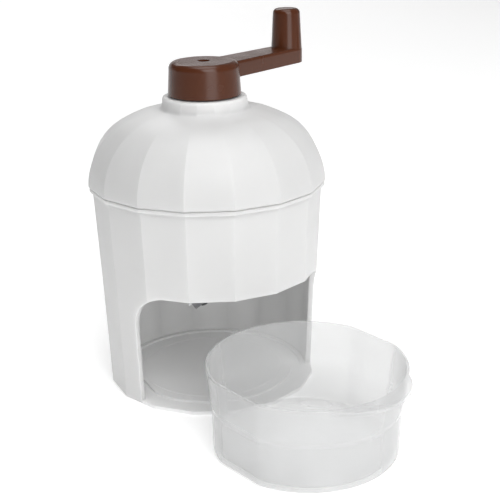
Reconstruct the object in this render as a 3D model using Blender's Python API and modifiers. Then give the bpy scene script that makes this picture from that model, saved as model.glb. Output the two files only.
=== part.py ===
"""Hand-cranked ice shaver: faceted body with a feed chamber, lid with a crank, and a clear container.

Sizes are in millimetres and become Blender's metres through MM. The origin is on the table under
the middle of the body. The container's opening faces -Y, and +Z is up.
"""

import math

import bmesh
import bpy
from mathutils import Euler, Matrix, Vector

MM = 0.001
GAP = 0.3                      # play between pieces that touch

# Outer body: a polygon with a flat facing the front
FACETS = 16
RIM_R = 67.5                   # corner radius of the rim, 135 mm across corners
BODY_FOOT_R = 60.9
BODY_ARCH_R = 63.4             # corner radius at the top of the opening
BODY_NECK_R = 65.5
NECK_Z = 114.0
RIM_LOW_Z = 117.8
RIM_TOP_Z = 119.9
BORE_FOOT_R = 56.8
BORE_ARCH_R = 59.3
BORE_TOP_R = 60.8
LEDGE_R = 58.9
LEDGE_Z = 115.2
SOCKET_R = 62.6                # bore above the ledge, for the lid's skirt
ARCH_HALF_ANGLE = 66.4         # degrees either side of the front
ARCH_TOP_Z = 68.3
ARCH_CORNER_R = 21.0
ARCH_STEPS = 24                # columns of the arch's cutter on each side
ARCH_CORNER_SHARE = 0.42       # share of the columns spent on each round corner
BODY_BOSS_R = 3.4
BODY_BOSS_LOW_Z = 99.0
BODY_BOSS_HOLE_Z = 104.0
BODY_BOSS_DROP = 0.4           # boss tops below the ledge
BODY_WEB_HALF = 2.6
BODY_WEB_DROP = 1.0

# Base plate
SILL_TOP_Z = 2.0
GROOVE_Z = 0.8
PLATE_R = 56.4
GROOVE_R = 53.6
PLATFORM_R = 47.5
PLATFORM_HALF_WIDTH = 44.0
PLATFORM_TOP_Z = 2.2
PAD_R = 5.0
PAD_HEIGHT = 0.9
PAD_CIRCLE_R = 36.0
PAD_COUNT = 4

# Lid
LID_LOW_Z = RIM_TOP_Z + GAP
DOME_R = 67.95
DOME_HEIGHT = 41.8
DOME_POWER_R = 3.335           # superellipse powers of the dome's outline
DOME_POWER_Z = 1.917
DOME_TOP_ANGLE = 79.5          # where the outline meets the collar's foot
LID_WALL = 2.2
SKIRT_R = 62.2
SKIRT_WALL = 1.3
SKIRT_LOW_Z = 117.6
COLLAR_TOP_Z = 168.4
COLLAR_EDGE_R = 1.5
COLLAR_TOP_R = 24.1
COLLAR_FOOT_R = 24.6
COLLAR_BORE_R = 20.5
BOSS_R = 11.5
BOSS_LOW_Z = 157.0

# Shaft, bush, pin and spring, one below the other
BUSH_R = 8.5
BUSH_FLANGE_R = 12.0
BUSH_FLANGE_LOW_Z = 155.0
JOURNAL_R = 5.5
SHAFT_R = 4.4
SHAFT_COLLAR_R = 11.0
SHAFT_COLLAR_LOW_Z = 151.4
SHAFT_COLLAR_TOP_Z = 153.4
SHAFT_LOW_Z = 113.5
SHAFT_TOP_Z = 181.5
SQUARE = 7.0
PIN_R = 1.2
PIN_Z = 116.0
PIN_HALF_LENGTH = 7.2
TAPPED_HOLE_Z = 172.0
SPRING_R = 9.5
SPRING_WIRE = 1.4
SPRING_TURNS = 9

# Crank
HUB_LOW_Z = 169.0
HUB_TOP_Z = 187.6
HUB_R = 20.6
HUB_SHOULDER_R = 19.7
HUB_EDGE_R = 3.8
CRANK_DIRECTION = 114.3        # degrees from the front towards +X
CRANK_RADIUS = 74.3
ARM_LOW_Z = 177.0
ARM_TOP_Z = 186.0
ARM_HUB_HALF = 11.0
ARM_EDGE_R = 1.5
KNOB_FOOT_R = 9.4
KNOB_TOP_R = 8.1
KNOB_TOP_Z = 209.0
KNOB_EDGE_R = 3.0
SCREW_RECESS_R = 3.4
SCREW_SEAT_Z = SHAFT_TOP_Z + 2.6

# Ice presser
PRESSER_R = 45.5
PRESSER_LOW_Z = 80.0
PRESSER_TOP_Z = 84.0
PRESSER_TRAVEL = 28.0
SLEEVE_R = 7.4
SLEEVE_BORE_R = SHAFT_R + GAP
SLEEVE_TOP_Z = 120.5
SPIKE_PLATE_R = 30.0
SPIKE_PLATE_T = 0.8
SPIKE_COUNT = 6
SPIKE_CIRCLE_R = 24.0
SPIKE_TIP_Z = 75.5
SPIKE_FOOT_R = 2.4
RIVET_CIRCLE_R = 14.0
RIVET_COUNT = 3
RIVET_R = 1.6
RIVET_HEAD_R = 3.0
RIVET_HEAD_H = 1.1

# Ice chamber
CHAMBER_FLOOR_Z = 70.0
CHAMBER_FLOOR_T = 3.0
CHAMBER_FLOOR_R = 49.4
CHAMBER_TOP_R = 51.1
CHAMBER_WALL = 1.6
FLANGE_R = 61.4
FLANGE_T = 1.6
FLANGE_LOW_Z = LEDGE_Z + GAP
FLANGE_TOP_Z = FLANGE_LOW_Z + FLANGE_T
BOSS_CIRCLE_R = 56.6
BOSS_ANGLES = (60.0, 180.0, 300.0)
SCREW_HOLE_R = 1.5
SCREW_SHANK_R = 1.2
CHAMBER_SCREW = (2.6, 1.4, 11.0)    # head radius, head height and shank length
BLADE_SCREW = (3.0, 1.6, 11.0)
CRANK_SCREW = (3.0, 1.5, 9.0)

# Blade, hung through a slot in the chamber's floor
BLADE_DIRECTION = -31.0        # degrees from the front towards +X
BLADE_OUTER = 46.5
BLADE_LENGTH = 40.0
BLADE_WIDTH = 21.0
BLADE_T = 1.0
BLADE_LOW_Z = 60.3
BLADE_EDGE_Z = 73.7
BLADE_LOW_SIDE = -5.9          # sideways place of the lower edge
CLAMP_T = 3.6
CLAMP_WIDTH = 10.0
BLADE_SCREW_SPREAD = 17.0
BLADE_SCREW_Y = -3.0
BLADE_BEVEL = 2.2
BLADE_SLOT_BACK = 6.4
BLADE_SLOT_FRONT = 2.0
RIB_SIDE = -9.0
RIB_LOW_Z = 62.5

# Clear container, drawn in its own frame and set down in front of the opening
BOX_HEIGHT = 46.7
BOX_RIM_R = 52.3
BOX_BAND_R = 50.4              # foot of the wide upper band
BOX_BAND_Z = 28.0
BOX_STEP_R = 49.5
BOX_STEP_Z = 24.6
BOX_FOOT_R = 48.9
BOX_WALL = 1.4
BOX_FLOOR_T = 1.6
BOX_FLAT_DEPTH = 2.2           # how far each side flat is cut into the round wall
LIP_R = 33.7
LIP_FORWARD = 26.3
LIP_T = 2.5
BOX_PLACE = (6.25, -107.45, 1.13)
BOX_TURN = 15.8                # degrees about +Z
BOX_TILT = 1.3                 # degrees, rear edge up on the sill

ROUND_STEPS = 56
SMALL_STEPS = 16
SHARP_ANGLE = 20.0

MATERIALS = {
    "body_white": ((0.86, 0.86, 0.85), 0.42, 0.0),
    "chamber_white": ((0.82, 0.82, 0.81), 0.45, 0.0),
    "crank_brown": ((0.17, 0.10, 0.07), 0.38, 0.0),
    "clear_plastic": ((0.80, 0.82, 0.84), 0.10, 0.0),
    "steel": ((0.62, 0.62, 0.63), 0.28, 1.0),
    "dark_steel": ((0.10, 0.10, 0.11), 0.40, 1.0),
    "bush_grey": ((0.40, 0.41, 0.42), 0.50, 0.0),
    "rubber": ((0.05, 0.05, 0.05), 0.85, 0.0),
}


def clear_scene():
    """Remove every object, so that a second run starts empty."""
    for item in list(bpy.data.objects):
        bpy.data.objects.remove(item, do_unlink=True)


def make_collection(name):
    """Collection of that name in the scene, made on the first run."""
    group = bpy.data.collections.get(name) or bpy.data.collections.new(name)
    if group.name not in bpy.context.scene.collection.children:
        bpy.context.scene.collection.children.link(group)
    return group


def make_materials():
    """One Principled material for each kind of stuff."""
    for name, (color, roughness, metallic) in MATERIALS.items():
        material = bpy.data.materials.get(name) or bpy.data.materials.new(name)
        material.use_nodes = True
        shader = material.node_tree.nodes["Principled BSDF"]
        shader.inputs["Base Color"].default_value = (*color, 1.0)
        shader.inputs["Roughness"].default_value = roughness
        shader.inputs["Metallic"].default_value = metallic
        if name == "clear_plastic":
            shader.inputs["Transmission Weight"].default_value = 0.9


def add_object(name, mesh, slot=None):
    """Object in the part's collection, or among the cutters if it has no material."""
    item = bpy.data.objects.new(name, mesh)
    if slot:
        PARTS.objects.link(item)
        mesh.materials.append(bpy.data.materials[slot])
    else:
        CUTTERS.objects.link(item)
        item.hide_render = True
        item.display_type = "WIRE"
    return item


def direction(angle):
    """Unit vector at an angle in degrees from the front towards +X."""
    turn = math.radians(angle)
    return Vector((math.sin(turn), -math.cos(turn), 0.0))


def heading(angle):
    """Turn about Z that points +X along direction(angle)."""
    return math.radians(angle - 90.0)


def arc(center, radius, start, stop, count):
    """Points (r, z) of an arc, or of an ellipse's if the radius is a pair, angles in degrees."""
    wide, tall = radius if isinstance(radius, tuple) else (radius, radius)
    points = []
    for step in range(count + 1):
        angle = math.radians(start + (stop - start) * step / count)
        points.append((center[0] + wide * math.cos(angle), center[1] + tall * math.sin(angle)))
    return points


def turned(name, outline, slot=None, steps=ROUND_STEPS, ring=False):
    """Solid turned about Z from (r, z) points, which have the material on their right."""
    count = len(outline)
    edges = [(index, index + 1) for index in range(count - 1)]
    if ring:
        edges.append((count - 1, 0))
    mesh = bpy.data.meshes.new(name)
    mesh.from_pydata([(r * MM, 0.0, z * MM) for r, z in outline], edges, [])
    item = add_object(name, mesh, slot)
    screw = item.modifiers.new("Turn", "SCREW")
    screw.axis = "Z"
    screw.steps = screw.render_steps = steps
    screw.use_merge_vertices = True
    screw.merge_threshold = 0.00001
    return item


def faceted(name, outline, slot=None, ring=False):
    """Turned solid with the body's few facets, one of them square to the front."""
    item = turned(name, outline, slot, FACETS, ring)
    item.rotation_euler.z = math.pi / FACETS
    return item


def cylinder(name, radius, low, top, slot=None, steps=SMALL_STEPS):
    """Upright cylinder about Z."""
    return turned(name, [(0, top), (radius, top), (radius, low), (0, low)], slot, steps)


def block(name, low, high, slot=None):
    """Box between two corners."""
    mesh = bpy.data.meshes.new(name)
    shape = bmesh.new()
    bmesh.ops.create_cube(shape, size=1.0)
    size = [(b - a) * MM for a, b in zip(low, high)]
    middle = [(a + b) / 2 * MM for a, b in zip(low, high)]
    bmesh.ops.scale(shape, vec=size, verts=shape.verts)
    bmesh.ops.translate(shape, vec=middle, verts=shape.verts)
    shape.to_mesh(mesh)
    shape.free()
    return add_object(name, mesh, slot)


def extruded(name, outline, depth, slot=None):
    """Flat outline in XY, given a depth centred on z = 0."""
    curve = bpy.data.curves.new(name, "CURVE")
    curve.dimensions = "2D"
    curve.fill_mode = "BOTH"
    curve.extrude = depth / 2 * MM
    spline = curve.splines.new("POLY")
    spline.points.add(len(outline) - 1)
    for point, (x, y) in zip(spline.points, outline):
        point.co = (x * MM, y * MM, 0.0, 1.0)
    spline.use_cyclic_u = True
    return curve_to_object(name, curve, slot)


def curve_to_object(name, curve, slot=None):
    """Mesh object made from a curve, with its caps welded on."""
    guide = bpy.data.objects.new(name + "_guide", curve)
    CUTTERS.objects.link(guide)
    graph = bpy.context.evaluated_depsgraph_get()
    mesh = bpy.data.meshes.new_from_object(guide.evaluated_get(graph))
    bpy.data.objects.remove(guide, do_unlink=True)
    shape = bmesh.new()
    shape.from_mesh(mesh)
    bmesh.ops.remove_doubles(shape, verts=shape.verts, dist=0.000001)
    bmesh.ops.recalc_face_normals(shape, faces=shape.faces)
    shape.to_mesh(mesh)
    shape.free()
    mesh.name = name
    mesh.materials.clear()
    return add_object(name, mesh, slot)


def boolean(item, operation, *tools, solver="EXACT"):
    """Add, cut or keep what is shared with each tool in turn."""
    for tool in tools:
        step = item.modifiers.new(tool.name, "BOOLEAN")
        step.operation = operation
        step.solver = solver
        step.object = tool
    return item


def place(item, location=(0, 0, 0), turn=(0, 0, 0), parent=None):
    """Set an object's place in millimetres and its turn in radians."""
    item.location = Vector(location) * MM
    item.rotation_euler = Euler(turn)
    item.parent = parent
    return item


def empty(name, location, turn, parent=None):
    """Guide frame that other pieces are set in."""
    frame = bpy.data.objects.new(name, None)
    CUTTERS.objects.link(frame)
    return place(frame, location, turn, parent)


def bent_arch(name, half_angle, foot, spring_line, corner, radii):
    """Arch-topped block bent about Z: straight sides up to spring_line, then round corners."""
    half = math.radians(half_angle)
    reach = corner / BORE_ARCH_R
    shape = bmesh.new()
    bmesh.ops.create_grid(shape, x_segments=2 * ARCH_STEPS, y_segments=1, size=1.0)
    for vertex in shape.verts:
        share = min(1.0, max(0.0, (1.0 - abs(vertex.co.x)) / ARCH_CORNER_SHARE)) * math.pi / 2
        along = max(0.0, 1.0 - ARCH_CORNER_SHARE - abs(vertex.co.x)) / (1.0 - ARCH_CORNER_SHARE)
        angle = half - reach * (1.0 - math.cos(share))
        if share >= math.pi / 2 - 1e-6:
            angle = (half - reach) * (1.0 - along)
        height = spring_line + corner * math.sin(share) if vertex.co.y > 0 else foot
        angle = math.copysign(angle, vertex.co.x)
        vertex.co = direction(math.degrees(angle)) * radii[0] * MM + Vector((0, 0, height * MM))
    grown = bmesh.ops.extrude_face_region(shape, geom=shape.faces[:])
    for vertex in (part for part in grown["geom"] if isinstance(part, bmesh.types.BMVert)):
        vertex.co.x *= radii[1] / radii[0]
        vertex.co.y *= radii[1] / radii[0]
    bmesh.ops.recalc_face_normals(shape, faces=shape.faces)
    mesh = bpy.data.meshes.new(name)
    shape.to_mesh(mesh)
    shape.free()
    return add_object(name, mesh)


def body_outline():
    """Outer (r, z) line of the body at its corners, from the rim down to the table."""
    cove = arc((RIM_R - 0.4, NECK_Z), (BODY_NECK_R - RIM_R + 0.4, RIM_LOW_Z - NECK_Z), 90, 0, 5)
    return [(0, RIM_TOP_Z), (RIM_R - 0.4, RIM_TOP_Z), (RIM_R, RIM_TOP_Z - 0.4),
            (RIM_R, RIM_LOW_Z + 0.4), *cove, (BODY_ARCH_R, ARCH_TOP_Z), (BODY_FOOT_R, 0.4),
            (BODY_FOOT_R - 0.4, 0), (0, 0)]


def make_body_shell():
    """Faceted outer shell with a round bore, a ledge for the chamber and the front opening."""
    shell = faceted("body_shell", body_outline(), "body_white")
    bore = turned("cut_body_bore", [
        (0, RIM_TOP_Z + 5), (SOCKET_R, RIM_TOP_Z + 5), (SOCKET_R, LEDGE_Z), (LEDGE_R, LEDGE_Z),
        (LEDGE_R, LEDGE_Z - 2), (BORE_TOP_R, LEDGE_Z - 4.3), (BORE_ARCH_R, ARCH_TOP_Z),
        (BORE_FOOT_R, 0), (BORE_FOOT_R, -1), (0, -1)])
    arch = bent_arch("cut_arch", ARCH_HALF_ANGLE, -2.0, ARCH_TOP_Z - ARCH_CORNER_R, ARCH_CORNER_R,
                     (45.0, 80.0))
    boolean(shell, "DIFFERENCE", bore, arch)
    for number, angle in enumerate(BOSS_ANGLES, 1):
        boss = cylinder(f"add_boss_{number}", BODY_BOSS_R, BODY_BOSS_LOW_Z, LEDGE_Z - BODY_BOSS_DROP)
        place(boss, direction(angle) * BOSS_CIRCLE_R, (0, 0, heading(angle)))
        web = block(f"add_boss_web_{number}", (BOSS_CIRCLE_R, -BODY_WEB_HALF, BODY_BOSS_LOW_Z + 0.5),
                    (BORE_TOP_R + 1.2, BODY_WEB_HALF, LEDGE_Z - BODY_WEB_DROP))
        place(web, turn=(0, 0, heading(angle)))
        hole = cylinder(f"cut_boss_{number}", SCREW_HOLE_R, BODY_BOSS_HOLE_Z, LEDGE_Z + 1)
        place(hole, direction(angle) * BOSS_CIRCLE_R)
        boolean(shell, "UNION", boss, web, solver="MANIFOLD")
        boolean(shell, "DIFFERENCE", hole, solver="MANIFOLD")


def make_base_plate():
    """Floor of the bay: a sill that closes the foot of the opening, a groove and a platform."""
    plate = cylinder("base_plate", PLATE_R, 0, SILL_TOP_Z, "body_white", ROUND_STEPS)
    sill = faceted("add_sill", [(0, SILL_TOP_Z), (BODY_FOOT_R, SILL_TOP_Z), (BODY_FOOT_R, 0), (0, 0)])
    play = math.degrees(GAP / BORE_FOOT_R)
    wedge = bent_arch("keep_sill", ARCH_HALF_ANGLE - play, -1, 4, 2, (50.0, 70.0))
    boolean(sill, "INTERSECT", wedge)
    pan = cylinder("cut_pan", GROOVE_R, GROOVE_Z, 8, steps=ROUND_STEPS)
    platform = cylinder("add_platform", PLATFORM_R, GROOVE_Z - 0.37, PLATFORM_TOP_Z, steps=ROUND_STEPS)
    side = PLATFORM_HALF_WIDTH
    boolean(platform, "INTERSECT", block("keep_platform", (-side, -60, -1), (side, 60, 9)))
    boolean(plate, "UNION", sill)
    boolean(plate, "DIFFERENCE", pan)
    boolean(plate, "UNION", platform)
    for number in range(1, PAD_COUNT + 1):
        spot = direction(45.0 + 360.0 * number / PAD_COUNT) * PAD_CIRCLE_R
        pocket = cylinder(f"cut_pad_{number}", PAD_R + GAP, -1, PAD_HEIGHT + GAP)
        boolean(plate, "DIFFERENCE", place(pocket, spot), solver="MANIFOLD")
        place(cylinder(f"grip_pad_{number}", PAD_R, 0, PAD_HEIGHT, "rubber"), spot)


def dome_points(radius, low, height, start, stop, count):
    """Superellipse (r, z) points between two angles in degrees above the rim."""
    points = []
    for step in range(count + 1):
        angle = math.radians(start + (stop - start) * step / count)
        points.append((radius * math.cos(angle) ** (2 / DOME_POWER_R),
                       low + height * math.sin(angle) ** (2 / DOME_POWER_Z)))
    return points


def make_lid():
    """Domed lid with a collar, a hollow boss for the bush and a skirt that drops into the body."""
    outer = dome_points(DOME_R, LID_LOW_Z, DOME_HEIGHT, DOME_TOP_ANGLE, 2.0, 12)
    inner = dome_points(DOME_R - LID_WALL, LID_LOW_Z, DOME_HEIGHT - LID_WALL, 6.0, 74.0, 9)
    skirt = SKIRT_R - SKIRT_WALL
    lid = faceted("lid_dome", [
        (BUSH_R + GAP, COLLAR_TOP_Z),
        *arc((COLLAR_TOP_R - COLLAR_EDGE_R, COLLAR_TOP_Z - COLLAR_EDGE_R), COLLAR_EDGE_R, 90, 0, 3),
        (COLLAR_FOOT_R, outer[0][1] + 1.2), (COLLAR_FOOT_R + 1.4, outer[0][1] + 0.1), *outer[1:],
        (RIM_R, LID_LOW_Z), (SKIRT_R, LID_LOW_Z), (SKIRT_R, SKIRT_LOW_Z), (skirt, SKIRT_LOW_Z),
        (skirt, LID_LOW_Z + 1.8), (inner[0][0], LID_LOW_Z + 1.8), *inner[1:],
        (COLLAR_BORE_R, inner[-1][1] + 1), (COLLAR_BORE_R, COLLAR_TOP_Z - 2.5),
        (BOSS_R, COLLAR_TOP_Z - 2.5), (BOSS_R, BOSS_LOW_Z), (BUSH_R + GAP, BOSS_LOW_Z)],
        "body_white", ring=True)
    bore = cylinder("cut_bush", BUSH_R + GAP, BOSS_LOW_Z - 1, COLLAR_TOP_Z + 1, steps=32)
    boolean(lid, "DIFFERENCE", bore)
    turned("shaft_bush", [
        (BUSH_R - 0.4, COLLAR_TOP_Z + 0.2), (BUSH_R, COLLAR_TOP_Z - 0.2),
        (BUSH_R, BOSS_LOW_Z - GAP), (BUSH_FLANGE_R, BOSS_LOW_Z - GAP),
        (BUSH_FLANGE_R, BUSH_FLANGE_LOW_Z), (JOURNAL_R + GAP, BUSH_FLANGE_LOW_Z),
        (JOURNAL_R + GAP, COLLAR_TOP_Z + 0.2)], "bush_grey", 32, ring=True)


def make_drive():
    """Shaft with its collar, thrust washer, cross pin and pressure spring."""
    shaft = turned("drive_shaft", [
        (0, HUB_LOW_Z - GAP), (JOURNAL_R, HUB_LOW_Z - GAP), (JOURNAL_R, SHAFT_COLLAR_TOP_Z),
        (SHAFT_COLLAR_R, SHAFT_COLLAR_TOP_Z), (SHAFT_COLLAR_R, SHAFT_COLLAR_LOW_Z),
        (SHAFT_R, SHAFT_COLLAR_LOW_Z), (SHAFT_R, SHAFT_LOW_Z + 0.8), (SHAFT_R - 0.8, SHAFT_LOW_Z),
        (0, SHAFT_LOW_Z)], "steel", 28)
    half = SQUARE / 2
    square = block("add_square", (-half, -half, HUB_LOW_Z - 1), (half, half, SHAFT_TOP_Z))
    tapped = cylinder("cut_tapped_hole", SCREW_HOLE_R, TAPPED_HOLE_Z, SHAFT_TOP_Z + 1)
    cross = cylinder("cut_cross_hole", PIN_R + GAP, -20, 20)
    boolean(shaft, "UNION", place(square, turn=(0, 0, heading(CRANK_DIRECTION))))
    boolean(shaft, "DIFFERENCE", tapped, place(cross, (0, 0, PIN_Z), (math.pi / 2, 0, 0)))
    pin = cylinder("drive_pin", PIN_R, -PIN_HALF_LENGTH, PIN_HALF_LENGTH, "steel", 16)
    place(pin, (0, 0, PIN_Z), (math.pi / 2, 0, 0))
    low = SHAFT_COLLAR_TOP_Z + GAP
    top = BUSH_FLANGE_LOW_Z - GAP
    turned("thrust_washer", [(SHAFT_COLLAR_R, top), (SHAFT_COLLAR_R, low), (JOURNAL_R + GAP, low),
                             (JOURNAL_R + GAP, top)], "steel", 28, ring=True)


def make_spring():
    """Pressure spring round the presser's sleeve, its last turn at each end laid flat."""
    low = PRESSER_TOP_Z + GAP + SPRING_WIRE / 2
    top = SHAFT_COLLAR_LOW_Z - GAP - SPRING_WIRE / 2
    per_turn = 12
    count = SPRING_TURNS * per_turn
    curve = bpy.data.curves.new("pressure_spring", "CURVE")
    curve.dimensions = "3D"
    curve.bevel_depth = SPRING_WIRE / 2 * MM
    curve.bevel_resolution = 2
    curve.use_fill_caps = True
    spline = curve.splines.new("POLY")
    spline.points.add(count)
    flat = SPRING_WIRE * 1.15
    for step, point in enumerate(spline.points):
        turns = step / per_turn
        rise = (top - low - 2 * flat) * (turns - 1) / (SPRING_TURNS - 2) + flat
        if turns < 1:
            rise = flat * turns
        elif turns > SPRING_TURNS - 1:
            rise = top - low - flat * (SPRING_TURNS - turns)
        angle = 2 * math.pi * turns
        point.co = (SPRING_R * math.cos(angle) * MM, SPRING_R * math.sin(angle) * MM,
                    (low + rise) * MM, 1.0)
    curve_to_object("pressure_spring", curve, "steel")


def make_presser():
    """Disc on a slotted sleeve, with a riveted plate of spikes that grips the ice."""
    presser = turned("ice_presser", [
        (SLEEVE_BORE_R, SLEEVE_TOP_Z), (SLEEVE_R, SLEEVE_TOP_Z), (SLEEVE_R, PRESSER_TOP_Z),
        (PRESSER_R - 0.6, PRESSER_TOP_Z), (PRESSER_R, PRESSER_TOP_Z - 0.6), (PRESSER_R, PRESSER_LOW_Z),
        (0, PRESSER_LOW_Z), (0, PRESSER_TOP_Z), (SLEEVE_BORE_R, PRESSER_TOP_Z)],
        "chamber_white", 40, ring=True)
    reach = PIN_R + GAP
    slot = block("cut_pin_slot", (-reach, -20, PIN_Z - PRESSER_TRAVEL - reach), (reach, 20, PIN_Z + reach))
    boolean(presser, "DIFFERENCE", slot)
    plate_top = PRESSER_LOW_Z - GAP
    plate_low = plate_top - SPIKE_PLATE_T
    plate = cylinder("spike_plate", SPIKE_PLATE_R, plate_low, plate_top, "steel", 28)
    for number in range(SPIKE_COUNT):
        spike = turned(f"add_spike_{number}", [
            (0, plate_top - 0.3), (SPIKE_FOOT_R, plate_top - 0.3), (SPIKE_FOOT_R, plate_low),
            (0.3, SPIKE_TIP_Z), (0, SPIKE_TIP_Z)], steps=6)
        place(spike, direction(360.0 * number / SPIKE_COUNT) * SPIKE_CIRCLE_R)
        boolean(plate, "UNION", spike)
    head_top = PRESSER_TOP_Z + GAP
    head_low = plate_low - GAP
    crown = [(0, RIVET_HEAD_H), (RIVET_HEAD_R * 0.63, RIVET_HEAD_H * 0.73), (RIVET_HEAD_R, 0), (RIVET_R, 0)]
    for number in range(1, RIVET_COUNT + 1):
        spot = direction(360.0 * number / RIVET_COUNT + 30.0) * RIVET_CIRCLE_R
        for target, label in ((presser, "disc"), (plate, "plate")):
            hole = cylinder(f"cut_rivet_{label}_{number}", RIVET_R + GAP, SPIKE_TIP_Z, PRESSER_TOP_Z + 1,
                            steps=12)
            boolean(target, "DIFFERENCE", place(hole, spot))
        rivet = turned(f"spike_rivet_{number}",
                       [(r, head_top + z) for r, z in crown]
                       + [(r, head_low - z) for r, z in reversed(crown)], "steel", 12)
        place(rivet, spot)


def make_chamber():
    """Cup that holds the ice, with a flange, a slot for the blade and a slanted seat under it."""
    floor_top = CHAMBER_FLOOR_Z + CHAMBER_FLOOR_T
    chamber = turned("ice_chamber", [
        (0, floor_top), (CHAMBER_FLOOR_R, floor_top), (CHAMBER_TOP_R, FLANGE_TOP_Z),
        (FLANGE_R, FLANGE_TOP_Z), (FLANGE_R, FLANGE_LOW_Z),
        (CHAMBER_TOP_R + CHAMBER_WALL, FLANGE_LOW_Z), (CHAMBER_FLOOR_R + CHAMBER_WALL, floor_top),
        (CHAMBER_FLOOR_R, CHAMBER_FLOOR_Z), (0, CHAMBER_FLOOR_Z)], "chamber_white")
    for number, angle in enumerate(BOSS_ANGLES, 1):
        spot = direction(angle) * BOSS_CIRCLE_R
        hole = cylinder(f"cut_flange_{number}", SCREW_HOLE_R, FLANGE_LOW_Z - 2, FLANGE_TOP_Z + 2)
        boolean(chamber, "DIFFERENCE", place(hole, spot))
        pan_screw(f"chamber_screw_{number}", *CHAMBER_SCREW, "steel")
        place(bpy.data.objects[f"chamber_screw_{number}"], spot + Vector((0, 0, FLANGE_TOP_Z + GAP)))
    return chamber


def pan_screw(name, head_r, head_h, length, slot):
    """Pan-head screw with its head's underside at z = 0 and its shank pointing down."""
    dome = arc((0, 0), (head_r, head_h), 60, 0, 2)
    screw = turned(name, [(0, head_h), *dome, (SCREW_SHANK_R, 0), (SCREW_SHANK_R, 0.8 - length),
                          (SCREW_SHANK_R - 0.6, -length), (0, -length)], slot, 12)
    cross = math.radians(45)
    for number in range(2):
        recess = block(f"cut_{name}_{number}", (-head_r * 0.55, -0.35, head_h * 0.45),
                       (head_r * 0.55, 0.35, head_h + 1))
        recess.parent = screw
        recess.rotation_euler.z = cross + number * math.pi / 2
        boolean(screw, "DIFFERENCE", recess)
    return screw


def make_blade(chamber):
    """Blade that leans through the floor's slot, its clamp and two screws, in a tilted frame."""
    rise = BLADE_EDGE_Z - BLADE_LOW_Z
    tilt = math.asin(rise / BLADE_WIDTH)
    side = BLADE_LOW_SIDE + BLADE_WIDTH / 2 * math.cos(tilt)
    middle = (BLADE_OUTER - BLADE_LENGTH / 2, side, BLADE_LOW_Z + rise / 2)
    radial = empty("blade_direction", (0, 0, 0), (0, 0, heading(BLADE_DIRECTION)))
    seat = empty("blade_seat", middle, (tilt, 0, 0), radial)
    edge_side = BLADE_LOW_SIDE + BLADE_WIDTH * math.cos(tilt)
    inner = BLADE_OUTER - BLADE_LENGTH
    rib = block("add_rib", (inner - 1.5, RIB_SIDE, RIB_LOW_Z),
                (BLADE_OUTER, edge_side - 4, CHAMBER_FLOOR_Z + 0.5))
    reach = BLADE_LENGTH
    under = block("cut_seat", (-reach, -reach, -reach), (reach, reach, BLADE_T / 2 + GAP))
    slot = block("cut_slot", (inner - 0.8, edge_side - BLADE_SLOT_BACK, CHAMBER_FLOOR_Z - 1),
                 (BLADE_OUTER + 0.4, edge_side + BLADE_SLOT_FRONT, CHAMBER_FLOOR_Z + CHAMBER_FLOOR_T + 1))
    rib.parent = slot.parent = radial
    under.parent = seat
    boolean(rib, "DIFFERENCE", under)
    boolean(chamber, "UNION", rib)
    boolean(chamber, "DIFFERENCE", slot)
    half = BLADE_WIDTH / 2
    blade = extruded("blade", [(-half, -BLADE_T / 2), (half - BLADE_BEVEL, -BLADE_T / 2),
                               (half, BLADE_T / 2), (-half, BLADE_T / 2)], BLADE_LENGTH, "steel")
    place(blade, (0, 0, 0), (math.pi / 2, 0, math.pi / 2), seat)
    clamp_top = -BLADE_T / 2 - GAP
    clamp = block("blade_clamp", (-BLADE_LENGTH / 2 + 0.5, -half + 1.5, clamp_top - CLAMP_T),
                  (BLADE_LENGTH / 2 - 0.5, -half + 1.5 + CLAMP_WIDTH, clamp_top), "dark_steel")
    clamp.parent = seat
    for name, spread in (("left", -BLADE_SCREW_SPREAD), ("right", BLADE_SCREW_SPREAD)):
        hole = cylinder(f"cut_blade_{name}", SCREW_HOLE_R, -6, 7)
        place(hole, (spread, BLADE_SCREW_Y, 0), parent=seat)
        for item in (blade, clamp, chamber):
            boolean(item, "DIFFERENCE", hole)
        screw = pan_screw(f"blade_screw_{name}", *BLADE_SCREW, "dark_steel")
        head = clamp_top - CLAMP_T - GAP
        place(screw, (spread, BLADE_SCREW_Y, head), (math.pi, 0, 0), seat)


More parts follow.
